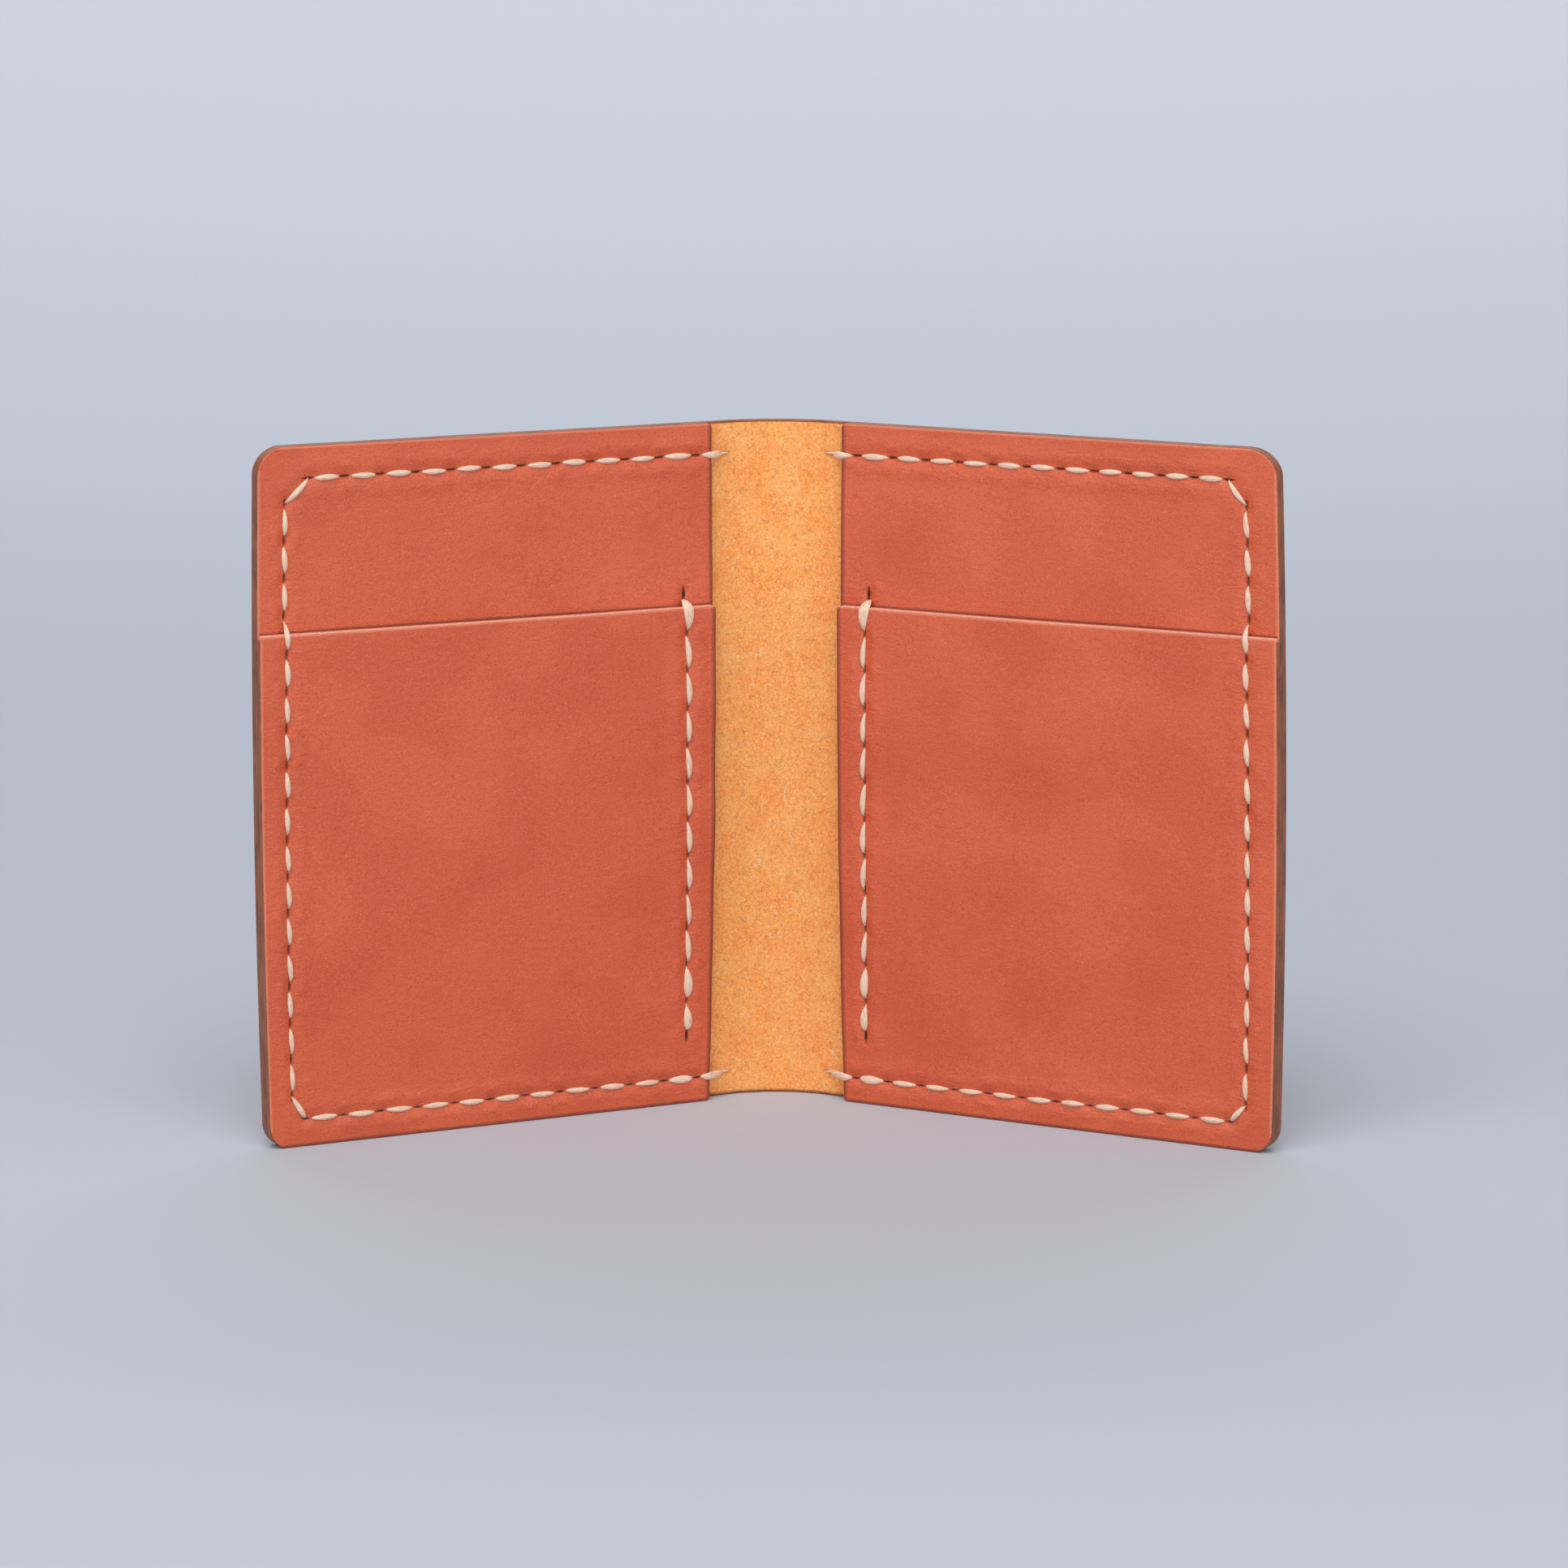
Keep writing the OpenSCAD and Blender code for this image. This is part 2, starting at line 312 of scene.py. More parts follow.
class Leaf:
    """The layers of one leaf, with its own hand-made irregularities."""

    def __init__(self, side, seed, hand):
        self.side = side
        self.name = "right" if side > 0 else "left"
        self.seed = seed
        self.hand = hand
        self.holes = edge_row(hand["top_cut"], hand["bottom_cut"])
        self.panel_holes = [h for h in self.holes if h[0] > PANEL_EDGE]
        self.seam_holes = [h for h in self.panel_holes if h[1] < POCKET_HEIGHT]
        self.upper_holes = [h for h in self.panel_holes if h[1] > POCKET_HEIGHT - 2.0]

    def hand_cut(self, u, v):
        """Moves flat points as the hand-cut pattern differs from the drawing."""
        hand = self.hand
        out = np.clip((u - PANEL_EDGE) / (LEAF_LENGTH - PANEL_EDGE), 0.0, 1.0)
        bow = hand["bow"] * (0.6 - (2.0 * v / HEIGHT - 1.0) ** 2)
        wider = out * (bow + hand["taper"] * (0.5 - v / HEIGHT) + hand["width"])
        lean = hand["lean_top"] + (hand["lean_foot"] - hand["lean_top"]) * (1.0 - v / HEIGHT)
        at_row = np.clip((LEAF_LENGTH - u) / (LEAF_LENGTH - COLUMN_U), 0.0, 1.0)
        at_row = at_row * smooth((u - COLUMN_U + 25.0) / 25.0)
        at_edge = bell(u - PANEL_EDGE, 3.0) * smooth((u - 0.5 * PITCH) / (PANEL_EDGE - 0.5 * PITCH))
        return u + wider + lean * at_row - hand["inner_lean"] * (v / HEIGHT - 0.4) * at_edge

    def position(self, u, v, w):
        return stand(self.side, self.hand_cut(u, v), v, w)

    def rng(self, offset):
        return np.random.default_rng(self.seed + offset)

    def lift(self, u, v):
        """Height of the back panel's rear face: it bows off the shell along its free inner edge."""
        rise = np.sin(math.pi * np.clip((v - BOTTOM_ROW_V) / (TOP_ROW_V - BOTTOM_ROW_V), 0.0, 1.0))
        fade = 1.0 - smooth((u - PANEL_EDGE) / (COLUMN_U - PANEL_EDGE))
        return LAYER_GAP + PANEL_LIFT * rise**0.8 * fade

    def panel_level(self, u, v):
        """Front face of the back panel without its stitch marks."""
        waves = ripples(u, v, self.rng(1), *PANEL_WAVES)
        inside = smooth((COLUMN_U - u) / 6.0) * smooth((TOP_ROW_V - v) / 6.0) * smooth(v / 10.0)
        return self.lift(u, v) + LEATHER + waves * inside

    def panel_front(self, u, v):
        marks = pressed(u, v, self.panel_holes, self.rng(2)) + pressed(u, v, POCKET_HOLES[:2], self.rng(5))
        return self.panel_level(u, v) + marks * smooth((v - POCKET_HEIGHT + 2.0) / 2.0)

    def pocket_back(self, u, v):
        """The front pocket lies on the back panel at its seams and gapes a little between them."""
        across = np.clip((u - POCKET_ROW_U) / (COLUMN_U - POCKET_ROW_U), 0.0, 1.0)
        up = smooth((v - BOTTOM_ROW_V) / 30.0) * (0.5 + 0.5 * (v / POCKET_HEIGHT) ** 3)
        gape = POCKET_LIFT * np.sin(math.pi * across) ** 0.8 * up
        return self.panel_level(u, v) + gape + LAYER_GAP

    def pocket_front(self, u, v):
        near = smooth((COLUMN_U - u) / 5.0) * smooth((v - BOTTOM_ROW_V) / 5.0)
        waves = ripples(u, v, self.rng(3), *POCKET_WAVES) * near
        marks = pressed(u, v, self.seam_holes, self.rng(4)) + pressed(u, v, POCKET_HOLES[1:], self.rng(6))
        return self.pocket_back(u, v) + LEATHER + waves + marks

    def inside(self, u, v):
        """The shell's inner face."""
        marks = pressed(u, v, [self.holes[0], self.holes[-1]], self.rng(8))
        return 0.5 * marks

    def outside(self, u, v):
        """The shell's outer face."""
        between = smooth((u - 4.0) / 8.0) * smooth((COLUMN_U - u) / 6.0)
        waves = ripples(u, v, self.rng(7), *SHELL_WAVES) * between
        return -(LEATHER + waves + pressed(u, v, self.holes, self.rng(9)))

    def front(self, u, v):
        """The face that a stitch on the inside lies on."""
        on_panel = u > PANEL_EDGE + 0.1
        on_pocket = on_panel & (v < POCKET_HEIGHT)
        level = np.where(on_panel, self.panel_front(u, v), self.inside(u, v))
        return np.where(on_pocket, self.pocket_front(u, v), level)

    def behind(self, u, v):
        """The outer face, as a height above it for a stitch on the outside."""
        return -self.outside(u, v)

    def panel_rear(self, u, v):
        """The back panel's rear face, as a height above it for a stitch behind the panel."""
        return -self.lift(u, v)


# ---- Sheets of leather ----


def lines(low, high, step, clusters):
    """Grid lines from low to high, with extra ones round the places that need them."""
    kept = []
    for x in sorted({round(float(x), 4) for x in clusters if low + 0.02 < x < high - 0.02}):
        if not kept or x - kept[-1] > 0.03:
            kept.append(x)
    stops = [low, *kept, high]
    result = [low]
    for a, b in zip(stops, stops[1:]):
        count = max(1, math.ceil((b - a) / step - 0.3))
        result += [a + (b - a) * k / count for k in range(1, count + 1)]
    return np.array(result)


def across_row(place):
    """Grid lines that follow a stitch row lengthways."""
    offsets = (SLIT_HALF_WIDTH, 0.3, 0.52, 0.8, 1.1, 1.45, 1.9)
    return [place] + [place + sign * o for o in offsets for sign in (-1.0, 1.0)]


def along_row(place, half):
    """Grid lines that cross a row at one slit."""
    return [place + share * half for share in (-1.0, -0.7, -0.25, 0.25, 0.7, 1.0)]


def corner_lines(end, inward, radius):
    """Grid lines that a round corner needs, from the end of the sheet inwards."""
    inner = radius - EDGE_ROUND
    steps = max(3, round(4 * inner))
    turns = [math.pi / 2 * k / steps for k in range(1, steps + 1)]
    return [end + inward * (radius - inner * math.cos(turn)) for turn in turns]


def end_lines(top, foot_radius, head_radius):
    """Grid lines for the round corners at both ends of a sheet."""
    return corner_lines(0.0, 1, foot_radius) + corner_lines(top, -1, head_radius)


def row_lines(holes):
    """Lines in u and in v that the given holes need."""
    us, vs = [], []
    for hole_u, hole_v, upright, half in holes:
        if upright:
            us += across_row(hole_u)
            vs += along_row(hole_v, half)
        else:
            us += along_row(hole_u, half)
            vs += across_row(hole_v)
    return us, vs


class Outline:
    """The cut outline of a sheet: straight sides with a round corner at each end of them."""

    def __init__(self, near, far, bottom, top, near_radius, far_radius, far_top_radius=None):
        self.near, self.far, self.bottom, self.top = near, far, bottom, top
        self.near_radius = near_radius
        self.far_radius = far_radius
        self.far_top_radius = far_radius if far_top_radius is None else far_top_radius

    @staticmethod
    def lost(distance, radius, inset):
        """How far a round corner stands back from its side, at a distance from the sheet's end."""
        inner = max(radius - inset, 1e-6)
        past = np.clip(radius - distance, 0.0, inner)
        return inner - np.sqrt(np.maximum(inner**2 - past**2, 0.0))

    def place(self, u, v, inset):
        """Moves the points of a square grid onto the rounded outline."""
        near_lost = self.lost(v - self.bottom, self.near_radius, inset)
        near_lost += self.lost(self.top - v, self.near_radius, inset)
        far_lost = self.lost(v - self.bottom, self.far_radius, inset)
        far_lost += self.lost(self.top - v, self.far_top_radius, inset)
        near_share = 1.0 - np.clip((u - self.near - inset) / NEAR_REACH, 0.0, 1.0)
        far_share = 1.0 - np.clip((self.far - inset - u) / FAR_REACH, 0.0, 1.0)
        return u + near_lost * near_share - far_lost * far_share


class Sheet:
    """Builds one piece of leather as a closed mesh from its outline and the heights of its two faces.

    pattern shifts the leather's grain. cut_near and cut_far are sides where the next piece
    carries on."""

    def __init__(self, leaf, outline, us, vs, pattern, cut_near=False, cut_far=False):
        self.leaf, self.outline, self.pattern = leaf, outline, pattern
        self.cut_near, self.cut_far = cut_near, cut_far
        self.us, self.vs = np.array(us), np.array(vs)
        grid_u, grid_v = np.meshgrid(self.us, self.vs, indexing="ij")
        self.shape = grid_u.shape
        self.v = grid_v.ravel()
        self.u = outline.place(grid_u.ravel(), self.v, EDGE_ROUND)
        self.points, self.faces, self.finishes = [], [], []
        self.wear, self.dark, self.ring_ends = [], [], []

    def add_points(self, u, v, w, wear, dark):
        first = sum(len(p) for p in self.points)
        self.points.append(np.stack([u, v, w], axis=1))
        self.wear.append(np.broadcast_to(wear, u.shape))
        self.dark.append(np.broadcast_to(dark, u.shape))
        return first

    def index(self, i, j):
        return i * self.shape[1] + j

    def rim_path(self):
        """Grid indices round the rim, anticlockwise from the near side's foot, without the cut sides."""
        ni, nj = self.shape
        foot = [self.index(i, 0) for i in range(ni)]
        far = [self.index(ni - 1, j) for j in range(nj)]
        head = [self.index(i, nj - 1) for i in range(ni - 1, -1, -1)]
        near = [self.index(0, j) for j in range(nj - 1, -1, -1)]
        if self.cut_near and self.cut_far:
            return [foot, head]
        if self.cut_near:
            return [foot + far[1:] + head[1:]]
        return [foot + far[1:] + head[1:] + near[1:-1]]

    def outward(self, path, closed):
        """Directions out of the outline, in the plane of the sheet."""
        at = np.stack([self.u[path], self.v[path]], axis=1)
        if closed:
            along = np.roll(at, -1, axis=0) - np.roll(at, 1, axis=0)
        else:
            along = np.gradient(at, axis=0)
        along /= np.maximum(np.hypot(along[:, 0], along[:, 1]), 1e-9)[:, None]
        return np.stack([along[:, 1], -along[:, 0]], axis=1)

    def fine_face(self, height, facing_up, finish, dark):
        """The face whose detail is modelled."""
        first = self.add_points(self.u, self.v, height, self.edge_wear(self.u, self.v), dark)
        ni, nj = self.shape
        for i in range(ni - 1):
            for j in range(nj - 1):
                corners = ((i, j), (i + 1, j), (i + 1, j + 1), (i, j + 1))
                self.add_face([first + self.index(*corner) for corner in corners], facing_up, finish)
        return first

    def edge_wear(self, u, v):
        """1 at the top and outer sides, falling off inwards: they are the first to wear, and the grain's
        lighter colour there is also a painted highlight on their rounding.
        """
        far = OUT_OF_REACH if self.cut_far else self.outline.far - u
        distance = np.minimum(far, self.outline.top - v)
        return bell(np.maximum(distance - EDGE_ROUND, 0.0), WEAR_AND_HIGHLIGHT_WIDTH)

    def edge_dressing_and_shade(self, u, v):
        """1 at the inner side and the foot, falling off inwards: edge dressing darkens them, and painted
        shade where they meet the spine and the floor.
        """
        near = OUT_OF_REACH if self.cut_near else u - self.outline.near
        distance = np.minimum(near, v - self.outline.bottom)
        return bell(np.maximum(distance - EDGE_ROUND, 0.0), DRESSING_AND_SHADE_WIDTH)

    def add_face(self, loop, facing_up, finish):
        turned = (self.leaf.side > 0) != facing_up
        self.faces.append(loop[::-1] if turned else loop)
        self.finishes.append(finish)

    def coarse_face(self, height, facing_up, finish, dark, keep_u, keep_v):
        """A plain face on some of the grid lines, which still meets every point of the rim."""
        ni, nj = self.shape
        first = self.add_points(self.u, self.v, height, self.edge_wear(self.u, self.v), dark)
        for i0, i1 in zip(keep_u, keep_u[1:]):
            for j0, j1 in zip(keep_v, keep_v[1:]):
                foot = range(i0, i1) if j0 == 0 else (i0,)
                far = range(j0, j1) if i1 == ni - 1 else (j0,)
                head = range(i1, i0, -1) if j1 == nj - 1 else (i1,)
                near = range(j1, j0, -1) if i0 == 0 else (j1,)
                loop = [self.index(i, j0) for i in foot] + [self.index(i1, j) for j in far]
                loop += [self.index(i, j1) for i in head] + [self.index(i0, j) for j in near]
                self.add_face([first + k for k in loop], facing_up, finish)
        return first

    def rims(self, top_first, bottom_first, top, bottom, top_round, bottom_round, finishes):
        """The rounded rim between the two faces. It starts out in each face's own finish."""
        for path in self.rim_path():
            path = np.array(path)
            closed = not self.cut_near
            normal = self.outward(path, closed)
            u, v = self.u[path], self.v[path]
            # Edge wear with a painted highlight, and edge dressing with painted shade, carried onto the rim
            wear, shade = self.edge_wear(u, v), EDGE_DRESSING_AND_SHADE * self.edge_dressing_and_shade(u, v)
            high, low = top[path], bottom[path]
            top_depth, bottom_depth = top_round(u, v), bottom_round(u, v)
            rings = [top_first + path]
            drops = [(math.sin(a), (1.0 - math.cos(a)) ** RIM_TIGHTNESS) for a in RIM_ANGLES]
            profile = [(reach, high - top_depth * drop) for reach, drop in drops]
            profile.append((1.0 + RIM_BULGE, (high - top_depth + low + bottom_depth) / 2))
            profile += [(reach, low + bottom_depth * drop) for reach, drop in drops[::-1]]
            for reach, w in profile:
                d = EDGE_ROUND * reach
                start = self.add_points(u + d * normal[:, 0], v + d * normal[:, 1], w, wear, shade)
                rings.append(start + np.arange(len(path)))
            rings.append(bottom_first + path)
            count = len(path) if closed else len(path) - 1
            for number, (upper, lower) in enumerate(zip(rings, rings[1:])):
                finish = finishes[2]
                if number < 2 and finishes[0] == GRAIN:
                    finish = GRAIN
                if number > len(rings) - 4 and finishes[1] == GRAIN:
                    finish = GRAIN
                for k in range(count):
                    n = (k + 1) % len(path)
                    self.add_face([upper[k], lower[k], lower[n], upper[n]], True, finish)
            self.ring_ends.append([(ring[0], ring[-1]) for ring in rings])

    def own_points(self, loops):
        """Gives some faces copies of their points, so that the shading next to them stays smooth."""
        used = sorted({k for loop in loops for k in loop})
        flat = np.concatenate(self.points)[used]
        first = self.add_points(*flat.T, 0.0, 0.0)
        copy = {old: first + i for i, old in enumerate(used)}
        return [[copy[k] for k in loop] for loop in loops]

    def caps(self, top_first, bottom_first, finish):
        """Flat ends where a piece carries on as the next one."""
        ni, nj = self.shape
        sides = ([("near", 0)] if self.cut_near else []) + ([("far", ni - 1)] if self.cut_far else [])
        for side, i in sides:
            up = [top_first + self.index(i, j) for j in range(nj)]
            down = [bottom_first + self.index(i, j) for j in range(nj)]
            loops = [[up[j], up[j + 1], down[j + 1], down[j]] for j in range(nj - 1)]
            if len(self.ring_ends) == 2:
                foot = [e[0 if side == "near" else 1] for e in self.ring_ends[0]]
                head = [e[1 if side == "near" else 0] for e in self.ring_ends[1]]
            else:
                foot = [e[0] for e in self.ring_ends[0]]
                head = [e[1] for e in self.ring_ends[0]]
            for loop in self.own_points(loops + [foot[::-1], head]):
                self.add_face(loop, side == "near", finish)

    def build(self, name, faces, fine, cuts, darks, rounds, finishes, keep):
        """faces, cuts, darks and rounds each hold one for the top face and one for the bottom face.
        finishes are places in the list of materials: top face, bottom face, rim, hidden ends."""
        high = faces[0](self.u, self.v) - cuts[0]
        low = faces[1](self.u, self.v) + cuts[1]
        # Darker inner and lower edges: edge dressing and painted shade, on both faces
        darks = [np.maximum(dark, EDGE_DRESSING_AND_SHADE * self.edge_dressing_and_shade(self.u, self.v)) for dark in darks]
        if fine == "top":
            top_first = self.fine_face(high, True, finishes[0], darks[0])
            bottom_first = self.coarse_face(low, False, finishes[1], darks[1], *keep)
        else:
            bottom_first = self.fine_face(low, False, finishes[1], darks[1])
            top_first = self.coarse_face(high, True, finishes[0], darks[0], *keep)
        self.rims(top_first, bottom_first, high, low, rounds[0], rounds[1], finishes)
        self.caps(top_first, bottom_first, finishes[3])
        return self.to_object(name)

    def to_object(self, name):
        flat = np.concatenate(self.points)
        used = np.zeros(len(flat), bool)
        for face in self.faces:
            used[face] = True
        renumber = np.cumsum(used) - 1
        flat = flat[used]
        faces = [renumber[face].tolist() for face in self.faces]
        mesh = bpy.data.meshes.new(name)
        mesh.from_pydata(self.leaf.position(*flat.T), [], faces)
        across = self.leaf.side * (flat[:, 0] + HALF_SPINE)
        place = np.stack([across, flat[:, 1], flat[:, 2] + self.pattern], axis=1)
        store(mesh, "flat", "FLOAT_VECTOR", "vector", place)
        store(mesh, "wear", "FLOAT", "value", np.concatenate(self.wear)[used])
        store(mesh, "dark", "FLOAT", "value", np.concatenate(self.dark)[used])
        all_holes = self.leaf.holes + POCKET_HOLES
        store(mesh, "strain", "FLOAT", "value", strain(flat[:, 0], flat[:, 1], all_holes))
        mesh.polygons.foreach_set("material_index", self.finishes)
        smooth_faces = [finish != HIDDEN for finish in self.finishes]
        mesh.polygons.foreach_set("use_smooth", smooth_faces)
        return add_object(name, mesh)


def store(mesh, name, kind, field, values):
    attribute = mesh.attributes.new(name, kind, "POINT")
    attribute.data.foreach_set(field, np.asarray(values, np.float32).ravel())


def every(values, step, keep=lambda x: False):
    """Indices of every few grid lines, with the first, the last and the ones to keep."""
    last = len(values) - 1
    return [i for i, x in enumerate(values) if i % step == 0 or i == last or keep(x)]


def hug(u, v):
    """A rim that another layer lies against is hardly rounded."""
    return np.full_like(u, TIGHT_EDGE)


def open_rim(u, v):
    return np.full_like(u, FACE_ROUND)


def add_piece(obj, body, materials, nodes):
    for material in materials:
        obj.data.materials.append(material)
    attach(obj, body)
    if nodes:
        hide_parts(*nodes)


def uncut(sheet):
    return np.zeros_like(sheet.u)


def rub_and_painted_shadow(v):
    """The line that the front pocket's top edge rubs on the back panel, darkened also as a painted shadow
    where that edge stands off the panel.
    """
    return bell(v - POCKET_HEIGHT - RUB_AND_SHADOW_ABOVE, 0.14)


def back_panel(leaf, materials):
    outline = Outline(PANEL_EDGE, LEAF_LENGTH, 0.0, HEIGHT, INNER_CORNER, LOWER_CORNER, CORNER)
    holes = leaf.upper_holes + POCKET_HOLES[:1]
    us, vs = row_lines(holes)
    vs += [POCKET_HEIGHT + o for o in (-0.1, 0.05, 0.12, 0.2, 0.3, 0.45)]
    ends = end_lines(HEIGHT, LOWER_CORNER, CORNER) + end_lines(HEIGHT, INNER_CORNER, INNER_CORNER)
    u_lines = lines(PANEL_EDGE + EDGE_ROUND, LEAF_LENGTH - EDGE_ROUND, GRID, us)
    v_lines = lines(EDGE_ROUND, HEIGHT - EDGE_ROUND, GRID, vs + ends)
    sheet = Sheet(leaf, outline, u_lines, v_lines, 20.0)
    # Painted shade in the slits, and the rub mark with painted shadow above the pocket's top edge
    dark = np.maximum(slit_painted_shade(sheet.u, sheet.v, holes), 0.7 * rub_and_painted_shadow(sheet.v))

    def top_round(u, v):
        covered = (v < POCKET_HEIGHT) & (u > PANEL_EDGE + 2 * EDGE_ROUND)
        return np.where(covered, TIGHT_EDGE, FACE_ROUND)

    def bottom_round(u, v):
        return np.where(u < PANEL_EDGE + 2 * EDGE_ROUND, FACE_ROUND, TIGHT_EDGE)

    obj = sheet.build(
        f"back_panel_{leaf.name}_leather", (leaf.panel_front, leaf.lift), "top",
        (slit_cuts(sheet.u, sheet.v, holes, SLIT_DEPTH), uncut(sheet)),
        (dark, uncut(sheet)), (top_round, bottom_round),
        (GRAIN, FLESH, BURNISHED, HIDDEN), (every(u_lines, 4), every(v_lines, 4)),
    )
    add_piece(obj, f"{leaf.name}_leaf", materials, [f"back_panel_{leaf.name}"])


def front_pocket(leaf, materials):
    outline = Outline(PANEL_EDGE, LEAF_LENGTH, 0.0, POCKET_HEIGHT, INNER_CORNER, LOWER_CORNER, 0.5)
    holes = leaf.seam_holes + POCKET_HOLES[1:]
    us, vs = row_lines(holes)
    ends = corner_lines(0.0, 1, LOWER_CORNER) + end_lines(POCKET_HEIGHT, INNER_CORNER, INNER_CORNER)
    u_lines = lines(PANEL_EDGE + EDGE_ROUND, LEAF_LENGTH - EDGE_ROUND, GRID, us)
    v_lines = lines(EDGE_ROUND, POCKET_HEIGHT - EDGE_ROUND, GRID, vs + ends)
    sheet = Sheet(leaf, outline, u_lines, v_lines, 40.0)

    def top_round(u, v):
        return np.where(v > POCKET_HEIGHT - 2 * EDGE_ROUND, MOUTH_ROUND, FACE_ROUND)

    obj = sheet.build(
        f"front_pocket_{leaf.name}_leather", (leaf.pocket_front, leaf.pocket_back), "top",
        (slit_cuts(sheet.u, sheet.v, holes, SLIT_DEPTH), uncut(sheet)),
        # Painted shade in the slits
        (slit_painted_shade(sheet.u, sheet.v, holes), uncut(sheet)), (top_round, hug),
        (GRAIN, FLESH, BURNISHED, HIDDEN), (every(u_lines, 4), every(v_lines, 4)),
    )
    mark_mouth(obj)
    add_piece(obj, f"{leaf.name}_leaf", materials, [f"front_pocket_{leaf.name}"])


def mark_mouth(obj):
    """The pocket's top edge is left pale, and its rounding keeps the grain."""
    mesh = obj.data
    places = np.zeros(len(mesh.vertices) * 3, np.float32)
    mesh.vertices.foreach_get("co", places)
    heights = places.reshape(-1, 3)[:, 2] / MM
    for polygon in mesh.polygons:
        if polygon.material_index == BURNISHED:
            middle = sum(heights[i] for i in polygon.vertices) / len(polygon.vertices)
            if middle > POCKET_HEIGHT - MOUTH_PALE:
                polygon.material_index = RAW
            elif middle > POCKET_HEIGHT - 1.5 * EDGE_ROUND:
                polygon.material_index = GRAIN


def shell_lines(leaf):
    """The shell's pieces share their lines in v, so that they meet without a gap."""
    _, vs = row_lines(leaf.holes)
    return lines(EDGE_ROUND, HEIGHT - EDGE_ROUND, GRID, vs + end_lines(HEIGHT, LOWER_CORNER, CORNER))


def shell_rim(u, v):
    return np.where(u < PANEL_EDGE - EDGE_ROUND, FACE_ROUND, TIGHT_EDGE)


def shell_leaf(leaf, materials, v_lines):
    start = 0.5 * PITCH
    outline = Outline(start, LEAF_LENGTH, 0.0, HEIGHT, 0.0, LOWER_CORNER, CORNER)
    us, _ = row_lines(leaf.holes)
    u_lines = lines(start, LEAF_LENGTH - EDGE_ROUND, GRID, us + [PANEL_EDGE - 0.5, PANEL_EDGE])
    sheet = Sheet(leaf, outline, u_lines, v_lines, 0.0, cut_near=True)
    spine_holes = [leaf.holes[0], leaf.holes[-1]]
    keep_u = every(u_lines, 4, lambda u: u < PANEL_EDGE + 1.0)
    keep_v = every(v_lines, 2, lambda v: min(abs(v - TOP_ROW_V), abs(v - BOTTOM_ROW_V)) < 2.0)
    rows = (spine_holes, leaf.holes)
    cuts = [slit_cuts(sheet.u, sheet.v, holes, SHELL_SLIT_DEPTH) for holes in rows]
    # Painted shade in the slits, on both faces
    darks = [slit_painted_shade(sheet.u, sheet.v, holes) for holes in rows]
    obj = sheet.build(
        f"shell_leaf_{leaf.name}_leather", (leaf.inside, leaf.outside), "bottom", cuts, darks,
        (shell_rim, open_rim), (FLESH, GRAIN, BURNISHED, HIDDEN), (keep_u, keep_v),
    )
    add_piece(obj, f"{leaf.name}_leaf", materials, [f"shell_leaf_{leaf.name}"])


def fold_zone(leaf, materials, v_lines, name, near, nodes):
    """One of the two bends of the shell on one side, from near to near + PITCH."""
    outline = Outline(near, near + PITCH, 0.0, HEIGHT, 0.0, 0.0)
    u_lines = np.linspace(near, near + PITCH, FOLD_COLUMNS + 1)
    sheet = Sheet(leaf, outline, u_lines, v_lines, 0.0, cut_near=True, cut_far=True)
    spine_holes = [leaf.holes[0], leaf.holes[-1]]
    slits = slit_cuts(sheet.u, sheet.v, spine_holes, SHELL_SLIT_DEPTH)
    # Painted shade in the spine's slits
    slit_shade = slit_painted_shade(sheet.u, sheet.v, spine_holes)
    obj = sheet.build(
        name, (leaf.inside, leaf.outside), "top", (slits, slits), (slit_shade, slit_shade),
        (shell_rim, open_rim), (FLESH, GRAIN, BURNISHED, HIDDEN),
        (range(len(u_lines)), every(v_lines, 2)),
    )
    for material in materials:
        obj.data.materials.append(material)
    level = np.zeros(2)
    ends = stand(leaf.side, np.array([near, near + PITCH]), level, level - LEATHER / 2)
    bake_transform(obj)
    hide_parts(*nodes)


def shell(leaf, materials):
    v_lines = shell_lines(leaf)
    shell_leaf(leaf, materials, v_lines)
    fold_zone(
        leaf, materials, v_lines, f"shell_inner_bend_{leaf.name}", -HALF_SPINE,
        ["shell_spine"],
    )
    fold_zone(
        leaf, materials, v_lines, f"shell_outer_bend_{leaf.name}", -0.5 * PITCH,
        [f"shell_fold_{leaf.name}"],
    )


# ---- Threads ----


def taut(levels):
    """The lowest line that bridges the hollows of a profile."""
    hull = [0]
    for i in range(1, len(levels)):
        while len(hull) > 1:
            a, b = hull[-2], hull[-1]
            if (levels[b] - levels[a]) * (i - a) > (levels[i] - levels[a]) * (b - a):
                break
            hull.pop()
        hull.append(i)
    return np.interp(np.arange(len(levels)), hull, levels[hull])


